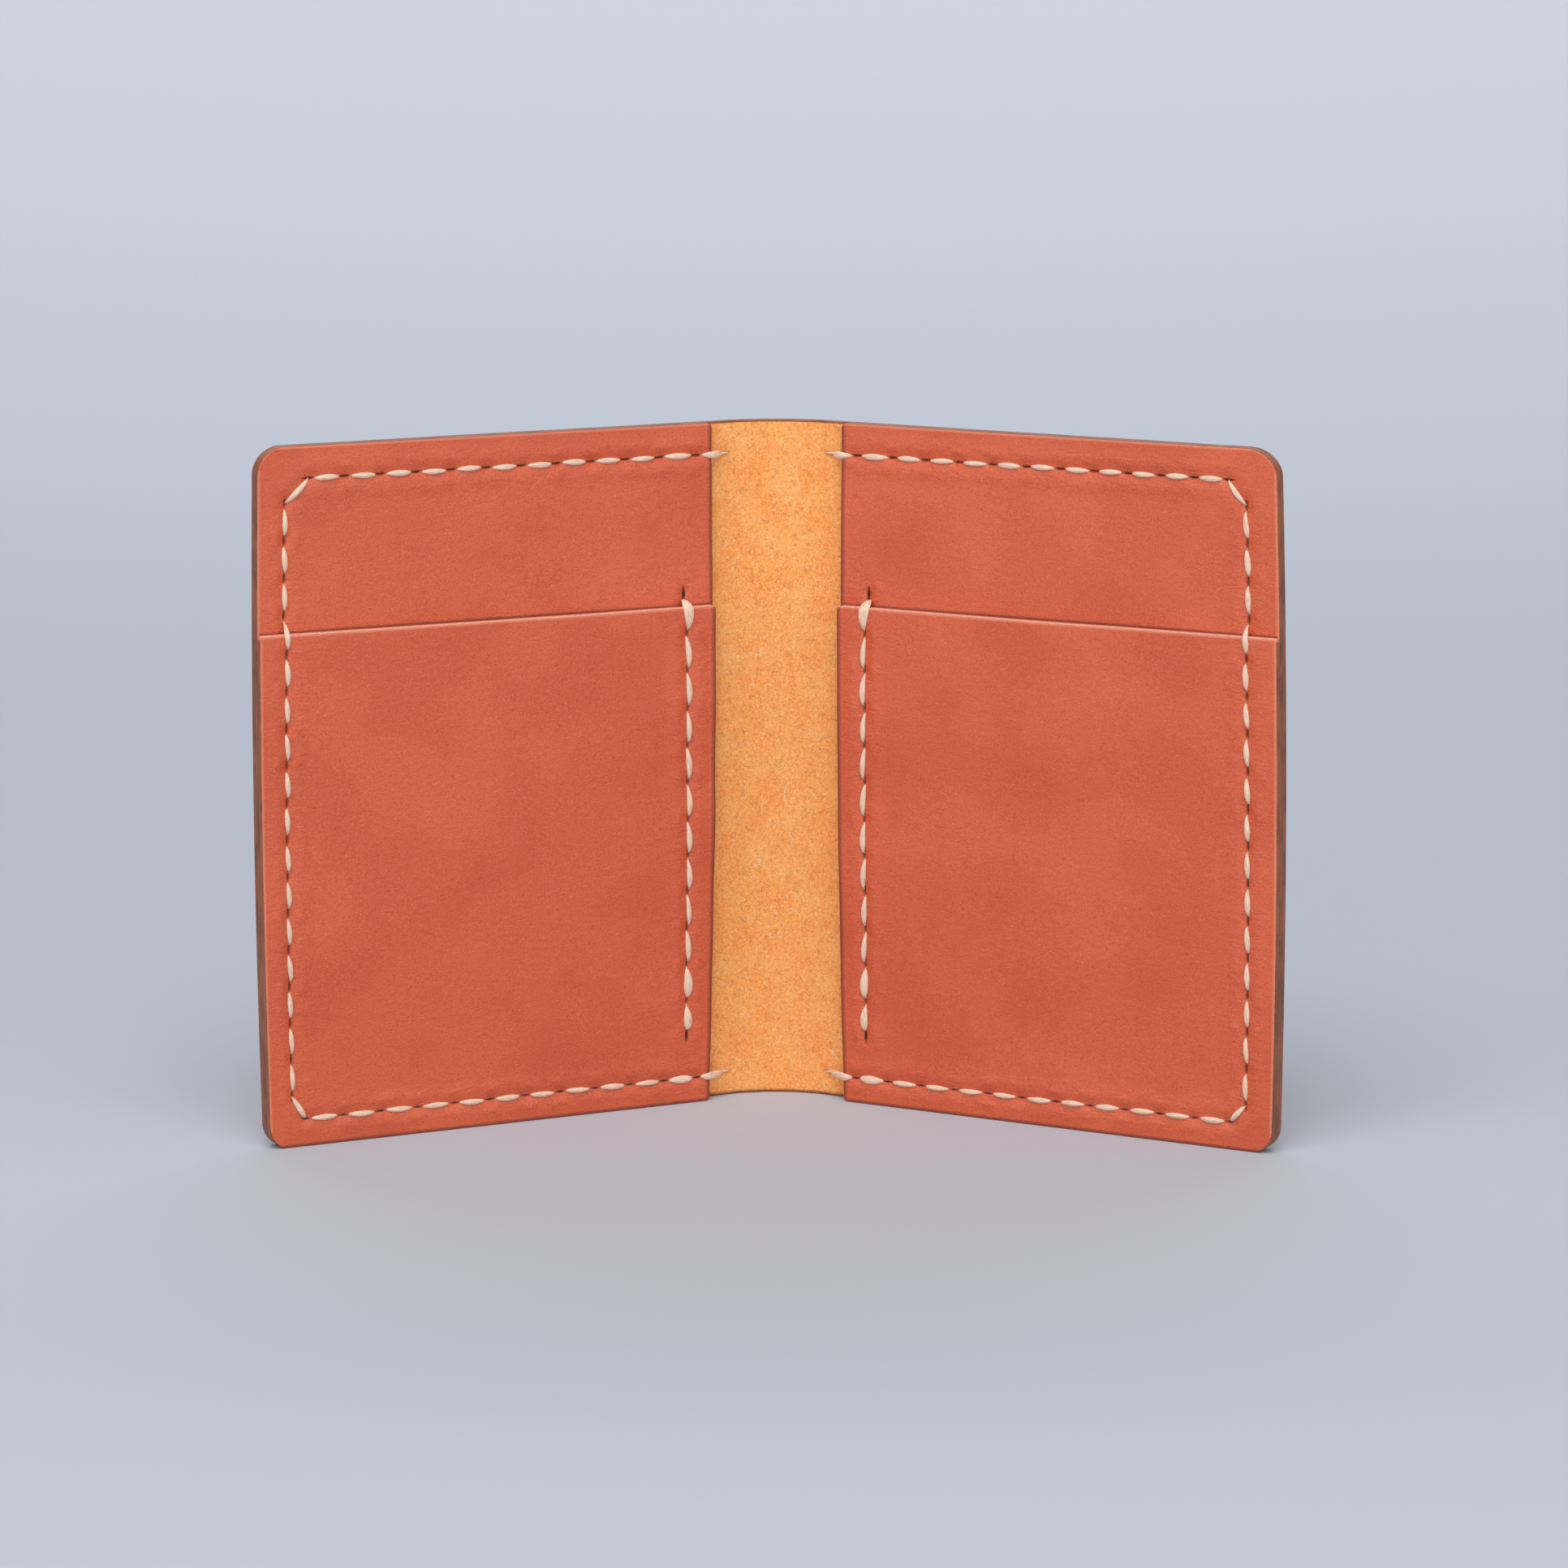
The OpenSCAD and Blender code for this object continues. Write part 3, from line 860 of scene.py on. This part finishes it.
class Thread:
    """Collects the stitches of one seam as a single mesh."""

    def __init__(self, leaf, seed):
        self.leaf = leaf
        self.rng = np.random.default_rng(leaf.seed * 31 + seed)
        self.points, self.places, self.faces = [], [], []
        self.count = 0

    def stitch(self, a, b, surface, inwards, width, gaps=(0.6, 0.6), peak=0.5, curve=0.0, tilt=0.0):
        """A lens-shaped stitch from hole a to hole b. surface gives the face's height, and inwards
        is 1 on the inside of the holder and -1 on the outside. peak is where along it the stitch
        is widest, and curve and tilt move its middle and its far end sideways."""
        rng = self.rng
        a, b = np.array(a[:2]), np.array(b[:2])
        length = float(np.hypot(*(b - a)))
        along = (b - a) / length
        beside = np.array([-along[1], along[0]])
        start, end = a + along * gaps[0], b - along * gaps[1]
        s = 0.5 - 0.5 * np.cos(np.pi * np.linspace(0.0, 1.0, STATIONS))
        drift = (tilt + rng.uniform(-0.1, 0.1)) * (s - 0.5) + rng.uniform(-0.05, 0.05)
        drift += (curve + rng.uniform(-0.04, 0.04)) * np.sin(np.pi * s)
        path = start + np.outer(s, end - start) + np.outer(drift, beside)
        level = taut(surface(path[:, 0], path[:, 1]))
        moved = (0.012 + 0.976 * s) ** (math.log(0.5) / math.log(peak + rng.uniform(-0.04, 0.04)))
        lens = np.sin(np.pi * moved)
        half_width = 0.5 * width * rng.uniform(0.93, 1.06) * lens**0.72
        half_height = STITCH_HEIGHT * lens**0.55
        dive = 0.45 * (1.0 - np.clip(lens / 0.5, 0.0, 1.0)) ** 1.5
        middle = level + 0.4 * half_height - dive
        turn = np.linspace(0.0, 2.0 * np.pi, AROUND, endpoint=False)
        twist = rng.uniform(0.5, 1.0)
        lobes = LOBES * (turn[None, :] + twist * (s[:, None] - 0.5)) + rng.uniform(0.0, PHASES)
        plies = 2.0 * turn[None, :] + 2.6 * twist * s[:, None] + rng.uniform(0.0, PHASES)
        radius = 1.0 + LOBE_DEPTH * np.cos(lobes) - PLY_DEPTH * bell(np.cos(plies / 2.0), 0.22)
        across = half_width[:, None] * np.cos(turn) * radius
        above = half_height[:, None] * np.sin(turn) * radius
        u = path[:, 0][:, None] + across * beside[0]
        v = path[:, 1][:, None] + across * beside[1]
        w = (middle[:, None] + above) * inwards
        self.points.append(np.stack([u.ravel(), v.ravel(), w.ravel()], axis=1))
        run = np.broadcast_to((s * length)[:, None], u.shape).ravel()
        round_it = (turn[None, :] / PHASES + 0.16 * twist * s[:, None]).ravel()
        number = np.full(run.shape, float(len(self.points)))
        self.places.append(np.stack([run, round_it, number + 50.0 * self.leaf.seed], axis=1))
        self.tube_faces(inwards)

    def tube_faces(self, inwards):
        first = self.count
        self.count += STATIONS * AROUND
        flip = (self.leaf.side > 0) == (inwards > 0)
        for k in range(STATIONS - 1):
            for j in range(AROUND):
                n = (j + 1) % AROUND
                quad = [first + k * AROUND + j, first + k * AROUND + n,
                        first + (k + 1) * AROUND + n, first + (k + 1) * AROUND + j]
                self.faces.append(quad if flip else quad[::-1])
        head = [first + j for j in range(AROUND)]
        foot = [first + (STATIONS - 1) * AROUND + j for j in range(AROUND)]
        self.faces.append(head[::-1] if flip else head)
        self.faces.append(foot if flip else foot[::-1])

    def build(self, name, material, nodes):
        flat = np.concatenate(self.points)
        mesh = bpy.data.meshes.new(name)
        mesh.from_pydata(self.leaf.position(*flat.T), [], self.faces)
        store(mesh, "flat", "FLOAT_VECTOR", "vector", np.concatenate(self.places))
        mesh.polygons.foreach_set("use_smooth", [True] * len(self.faces))
        add_piece(add_object(name, mesh), f"{self.leaf.name}_leaf", [material], nodes)


def edge_stitching(leaf, material):
    """The stitches that cross the panels' inner edges are pulled less tight and lie wider."""
    thread = Thread(leaf, 1)
    last = len(leaf.holes) - 2
    wider = {0: 1.15, 1: 1.0, last - 1: 1.3, last: 1.2}
    for i, (a, b) in enumerate(zip(leaf.holes, leaf.holes[1:])):
        width = THREAD_WIDTH * wider.get(i, 0.86)
        gaps = (0.5, 0.5) if i in wider else (0.6, 0.6)
        if a[2] != b[2]:
            gaps = (0.0, 0.0)
        tilt = STITCH_TILT if a[2] and b[2] else 0.0
        thread.stitch(a, b, leaf.front, 1, width, gaps, tilt=tilt * leaf.side)
        thread.stitch(a, b, leaf.behind, -1, width, gaps, tilt=-tilt * leaf.side)
    for hole in (leaf.holes[0], leaf.holes[-1]):
        tail = (hole[0] - TAIL_REACH, hole[1])
        thread.stitch(tail, (hole[0] + TAIL_REACH, hole[1]), leaf.front, 1, TAIL_WIDTH, (0.0, 0.0), peak=0.7)
    thread.build(f"edge_stitching_{leaf.name}_thread", material, [f"edge_stitching_{leaf.name}"])


def pocket_stitching(leaf, material):
    """The thread is doubled at both ends of the row, and each stitch leans over its slit."""
    thread = Thread(leaf, 2)
    last = len(POCKET_HOLES) - 2
    for i, (a, b) in enumerate(zip(POCKET_HOLES, POCKET_HOLES[1:])):
        width, gaps, peak = THREAD_WIDTH * 0.9, (0.2, 0.1), 0.55
        if i == 0:
            width, gaps, peak = THREAD_WIDTH * 1.6, (0.7, 0.15), 0.33
        if i == last:
            width, gaps, peak = THREAD_WIDTH * 1.5, (0.15, 0.7), 0.66
        if i == last - 1:
            width = THREAD_WIDTH * 1.45
        thread.stitch(a, b, leaf.front, 1, width, gaps, peak, curve=-0.12, tilt=-0.3)
        thread.stitch(a, b, leaf.panel_rear, -1, width, gaps, peak, curve=0.1, tilt=0.3)
    thread.build(f"pocket_stitching_{leaf.name}_thread", material, [f"pocket_stitching_{leaf.name}"])


# ---- Materials ----


def linear(red, green, blue):
    """An 8-bit display colour as the linear colour that a shader takes."""
    return tuple(
        c / 12.92 if c <= 0.04045 else ((c + 0.055) / 1.055) ** 2.4
        for c in (red / 255, green / 255, blue / 255)
    ) + (1.0,)


LEATHER_DEEP = linear(199, 82, 42)
LEATHER_LIGHT = linear(208, 91, 51)
# Lighter edge colour: edge wear and a painted highlight
LEATHER_WEAR_AND_HIGHLIGHT = linear(232, 160, 130)
LEATHER_SPECK = linear(146, 48, 28)
LEATHER_FLECK = linear(236, 140, 112)
# Colour of the painted shade in slits and along edges, and of edge dressing
SLIT_DARK = linear(50, 14, 8)
SUEDE_DEEP = linear(255, 160, 80)
SUEDE_LIGHT = linear(255, 178, 98)
SUEDE_PALE = linear(255, 222, 172)
SUEDE_SPECK = linear(190, 100, 40)
EDGE_BROWN = linear(150, 84, 50)
EDGE_DARK = linear(112, 62, 40)
EDGE_WARM = linear(182, 114, 76)
RAW_DEEP = linear(214, 144, 116)
RAW_LIGHT = linear(236, 182, 156)
THREAD_LIGHT = linear(234, 208, 186)
THREAD_SHADE = linear(206, 168, 144)
THREAD_WARM = linear(220, 182, 156)
BACKDROP = linear(183, 190, 201)
HIGH_LIGHT = (1.0, 0.98, 0.96)
LOW_LIGHT = (1.0, 0.97, 0.94)


class Finish:
    """Builds one material from nodes, on the flat coordinates of the leather, in millimetres."""

    def __init__(self, name):
        self.material = bpy.data.materials.new(name)
        self.material.use_nodes = True
        self.tree = self.material.node_tree
        self.shader = self.tree.nodes["Principled BSDF"]
        self.place = self.attribute("flat", "Vector")

    def put(self, socket, value):
        if isinstance(value, bpy.types.NodeSocket):
            self.tree.links.new(value, socket)
        else:
            socket.default_value = value

    def attribute(self, name, output):
        node = self.tree.nodes.new("ShaderNodeAttribute")
        node.attribute_name = name
        return node.outputs[output]

    def node(self, kind, **inputs):
        node = self.tree.nodes.new("ShaderNode" + kind)
        for name, value in inputs.items():
            self.put(node.inputs[name.replace("_", " ")], value)
        return node

    def stretched(self, scale, turn=0.0):
        node = self.node("Mapping", Vector=self.place, Scale=scale, Rotation=(0.0, 0.0, turn))
        return node.outputs["Vector"]

    def noise(self, size, detail=3.0, roughness=0.55, distortion=0.0, vector=None):
        """Noise whose features are about size millimetres across."""
        node = self.node(
            "TexNoise", Vector=self.place if vector is None else vector, Scale=1.0 / size,
            Detail=detail, Roughness=roughness, Distortion=distortion,
        )
        return node.outputs["Fac"]

    def cells(self, size):
        return self.node("TexVoronoi", Vector=self.place, Scale=1.0 / size).outputs["Distance"]

    def ramp(self, value, low, high, out_low=0.0, out_high=1.0):
        node = self.node(
            "MapRange", Value=value, From_Min=low, From_Max=high, To_Min=out_low, To_Max=out_high
        )
        node.interpolation_type = "SMOOTHSTEP"
        return node.outputs["Result"]

    def math(self, kind, a, b=0.0):
        node = self.tree.nodes.new("ShaderNodeMath")
        node.operation = kind
        self.put(node.inputs[0], a)
        self.put(node.inputs[1], b)
        return node.outputs[0]

    def mix(self, share, a, b):
        node = self.tree.nodes.new("ShaderNodeMix")
        node.data_type = "RGBA"
        self.put(node.inputs["Factor"], share)
        self.put(node.inputs["A"], a)
        self.put(node.inputs["B"], b)
        return node.outputs["Result"]

    def bump(self, height, depth, under=None):
        """Relief whose full height is depth millimetres."""
        node = self.tree.nodes.new("ShaderNodeBump")
        node.inputs["Strength"].default_value = 1.0
        node.inputs["Distance"].default_value = depth * MM
        self.put(node.inputs["Height"], height)
        if under is not None:
            self.put(node.inputs["Normal"], under)
        return node.outputs["Normal"]

    def finish(self, colour, roughness, normal=None, **constants):
        self.put(self.shader.inputs["Base Color"], colour)
        self.put(self.shader.inputs["Roughness"], roughness)
        if normal is not None:
            self.put(self.shader.inputs["Normal"], normal)
        for name, value in constants.items():
            self.shader.inputs[name.replace("_", " ")].default_value = value
        return self.material


def grain_leather():
    f = Finish("grain_leather")
    mottle = f.noise(14.0, 3.0, 0.5)
    grain = f.noise(0.24, 4.0, 0.7)
    pebble = f.noise(0.75, 3.0, 0.6, 0.4)
    pores = f.cells(0.7)
    creases = f.noise(1.1, 4.0, 0.65, 0.8, vector=f.stretched((0.4, 1.0, 1.0), 0.4))
    colour = f.mix(f.ramp(mottle, 0.3, 0.7), LEATHER_DEEP, LEATHER_LIGHT)
    colour = f.mix(f.ramp(grain, 0.52, 0.72, 0.0, 0.7), colour, LEATHER_SPECK)
    colour = f.mix(f.ramp(grain, 0.48, 0.26, 0.0, 0.45), colour, LEATHER_FLECK)
    colour = f.mix(f.ramp(pebble, 0.52, 0.7, 0.0, 0.1), colour, LEATHER_SPECK)
    colour = f.mix(f.ramp(pores, 0.0, 0.14, 0.6, 0.0), colour, LEATHER_SPECK)
    # Lighter top and outer edges: edge wear and a painted highlight
    wear_and_highlight_share = f.ramp(f.attribute("wear", "Fac"), 0.6, 1.0, 0.0, 0.3)
    colour = f.mix(wear_and_highlight_share, colour, LEATHER_WEAR_AND_HIGHLIGHT)
    # Painted shade in the slits and along the inner and lower edges, with edge dressing there, and the rub
    # mark with painted shadow above the pocket
    colour = f.mix(f.attribute("dark", "Fac"), colour, SLIT_DARK)
    roughness = f.math("ADD", f.ramp(grain, 0.3, 0.7, -0.06, 0.06), f.ramp(mottle, 0.3, 0.7, 0.38, 0.33))
    puckers = f.math("MULTIPLY", creases, f.ramp(f.attribute("strain", "Fac"), 0.0, 0.9, 0.25, 1.0))
    normal = f.bump(puckers, 0.2)
    normal = f.bump(pebble, 0.05, normal)
    normal = f.bump(grain, 0.05, normal)
    normal = f.bump(f.ramp(pores, 0.0, 0.22), 0.03, normal)
    return f.finish(colour, roughness, normal, Specular_IOR_Level=0.6)


def loose_fibres(f):
    """A few long pale fibres that lie on the suede, as thin level lines of a slow noise."""
    winding = f.noise(13.0, 3.0, 0.6, 0.5)
    apart = f.math("ABSOLUTE", f.math("SUBTRACT", winding, 0.5))
    patches = f.ramp(f.noise(9.0, 2.0, 0.5), 0.5, 0.56)
    return f.math("MULTIPLY", f.ramp(apart, 0.0, 0.0035, 1.0, 0.0), patches)


def suede():
    f = Finish("suede")
    nap = f.noise(0.34, 4.0, 0.75, 1.2)
    curls = f.noise(0.6, 4.0, 0.7, 2.5)
    tufts = f.noise(1.1, 3.0, 0.65, 0.6)
    patch = f.noise(5.0, 3.0, 0.5)
    colour = f.mix(f.ramp(patch, 0.3, 0.7), SUEDE_DEEP, SUEDE_LIGHT)
    colour = f.mix(f.ramp(tufts, 0.5, 0.7, 0.0, 0.35), colour, SUEDE_SPECK)
    colour = f.mix(f.ramp(nap, 0.48, 0.68, 0.0, 0.65), colour, SUEDE_PALE)
    colour = f.mix(f.ramp(nap, 0.5, 0.3, 0.0, 0.6), colour, SUEDE_SPECK)
    colour = f.mix(f.ramp(curls, 0.52, 0.7, 0.0, 0.45), colour, SUEDE_SPECK)
    colour = f.mix(f.math("MULTIPLY", loose_fibres(f), 0.55), colour, SUEDE_PALE)
    wear_and_highlight_share = f.ramp(f.attribute("wear", "Fac"), 0.5, 1.0, 0.0, 0.3)
    colour = f.mix(wear_and_highlight_share, colour, EDGE_BROWN)
    # Painted shade in the slits and along the inner and lower edges, with edge dressing there
    colour = f.mix(f.attribute("dark", "Fac"), colour, SLIT_DARK)
    normal = f.bump(nap, 0.12)
    return f.finish(colour, 0.95, normal, Specular_IOR_Level=0.15, Sheen_Weight=0.1, Sheen_Roughness=0.6)


def burnished_edge():
    f = Finish("burnished_edge")
    streak = f.noise(0.5, 3.0, 0.6, vector=f.stretched((1.0, 1.0, 4.0)))
    patch = f.noise(5.0, 3.0, 0.5)
    colour = f.mix(f.ramp(patch, 0.35, 0.65), EDGE_BROWN, EDGE_DARK)
    colour = f.mix(f.ramp(streak, 0.45, 0.7, 0.0, 0.4), colour, EDGE_WARM)
    normal = f.bump(streak, 0.03)
    return f.finish(colour, f.ramp(streak, 0.3, 0.7, 0.42, 0.55), normal, Specular_IOR_Level=0.35)


def raw_edge():
    f = Finish("raw_edge")
    fibre = f.noise(0.3, 4.0, 0.7)
    colour = f.mix(f.ramp(fibre, 0.3, 0.7), RAW_DEEP, RAW_LIGHT)
    return f.finish(colour, 0.7, f.bump(fibre, 0.03), Specular_IOR_Level=0.3)


def waxed_thread():
    f = Finish("waxed_thread")
    fibres = f.noise(0.5, 3.0, 0.6, vector=f.stretched((0.35, 9.0, 1.0)))
    tone = f.noise(1.6, 2.0, 0.5)
    colour = f.mix(f.ramp(fibres, 0.3, 0.6), THREAD_SHADE, THREAD_LIGHT)
    colour = f.mix(f.ramp(tone, 0.4, 0.7, 0.0, 0.3), colour, THREAD_WARM)
    return f.finish(colour, 0.55, f.bump(fibres, 0.05), Specular_IOR_Level=0.4, Sheen_Weight=0.08)


def backdrop_paper():
    material = bpy.data.materials.new("backdrop_paper")
    material.use_nodes = True
    shader = material.node_tree.nodes["Principled BSDF"]
    shader.inputs["Base Color"].default_value = BACKDROP
    shader.inputs["Roughness"].default_value = 0.85
    shader.inputs["Specular IOR Level"].default_value = 0.2
    return material


# ---- Stage ----


def sweep():
    """A seamless floor that curves up into the background."""
    profile = [(-2.5, 0.0), (SWEEP_START, 0.0)]
    for k in range(1, 25):
        a = math.radians(90.0 * k / 24)
        profile.append((SWEEP_START + SWEEP_RADIUS * math.sin(a), SWEEP_RADIUS * (1.0 - math.cos(a))))
    profile.append((SWEEP_START + SWEEP_RADIUS, 3.0))
    points = [(x, y, z) for y, z in profile for x in (-2.5, 2.5)]
    faces = [(2 * k, 2 * k + 1, 2 * k + 3, 2 * k + 2) for k in range(len(profile) - 1)]
    mesh = bpy.data.meshes.new("sweep")
    mesh.from_pydata(points, [], faces)
    mesh.polygons.foreach_set("use_smooth", [True] * len(faces))
    mesh.materials.append(backdrop_paper())
    add_object("sweep", mesh)


def soft_light(name, place, target, size, power, colour):
    data = bpy.data.lights.new(name, "AREA")
    data.shape = "RECTANGLE"
    data.size, data.size_y = size
    data.energy = power
    data.color = colour
    obj = add_object(name, data)
    obj.location = place
    obj.rotation_euler = (Vector(target) - Vector(place)).to_track_quat("-Z", "Y").to_euler()


def studio():
    sweep()
    soft_light("backdrop", (0.0, 1.15, 0.8), (0.0, 1.15, 0.0), (2.6, 0.6), 12.6, HIGH_LIGHT)
    soft_light("overhead", (-0.06, -0.5, 0.9), (0.0, 0.0, 0.04), (0.8, 0.6), 6.8, HIGH_LIGHT)
    soft_light("front", (0.02, -1.25, 0.42), HOLDER_MIDDLE, (0.9, 0.5), 3.6, LOW_LIGHT)
    for name, x in (("left", -1.0), ("right", 1.0)):
        soft_light(name, (x, -0.85, 0.4), HOLDER_MIDDLE, (0.8, 0.7), 3.3, LOW_LIGHT)
    world = bpy.data.worlds.new("studio")
    world.use_nodes = True
    background = world.node_tree.nodes["Background"]
    background.inputs["Color"].default_value = (0.86, 0.9, 0.95, 1.0)
    background.inputs["Strength"].default_value = 0.3
    scene = bpy.context.scene
    scene.world = world
    scene.view_settings.view_transform = "Standard"


def photo_camera():
    data = bpy.data.cameras.new("camera")
    data.sensor_width = 36.0
    data.lens = CAMERA_LENS
    data.clip_start, data.clip_end = 0.01, 20.0
    obj = add_object("camera", data)
    azimuth, elevation = math.radians(CAMERA_AZIMUTH), math.radians(CAMERA_ELEVATION)
    back = Vector((
        math.sin(azimuth) * math.cos(elevation),
        -math.cos(azimuth) * math.cos(elevation),
        math.sin(elevation),
    ))
    target = Vector(CAMERA_TARGET) * MM
    obj.location = target + back * CAMERA_DISTANCE * MM
    obj.rotation_euler = (-back).to_track_quat("-Z", "Y").to_euler()
    bpy.context.scene.camera = obj


# ---- Build ----


def build():
    flesh = suede()
    leather = [grain_leather(), flesh, burnished_edge(), raw_edge(), flesh]
    thread = waxed_thread()
    for leaf in (Leaf(-1, 11, LEFT_HAND), Leaf(1, 42, RIGHT_HAND)):
        shell(leaf, leather)
        back_panel(leaf, leather)
        front_pocket(leaf, leather)
        edge_stitching(leaf, thread)
        pocket_stitching(leaf, thread)
    studio()
    photo_camera()


build()
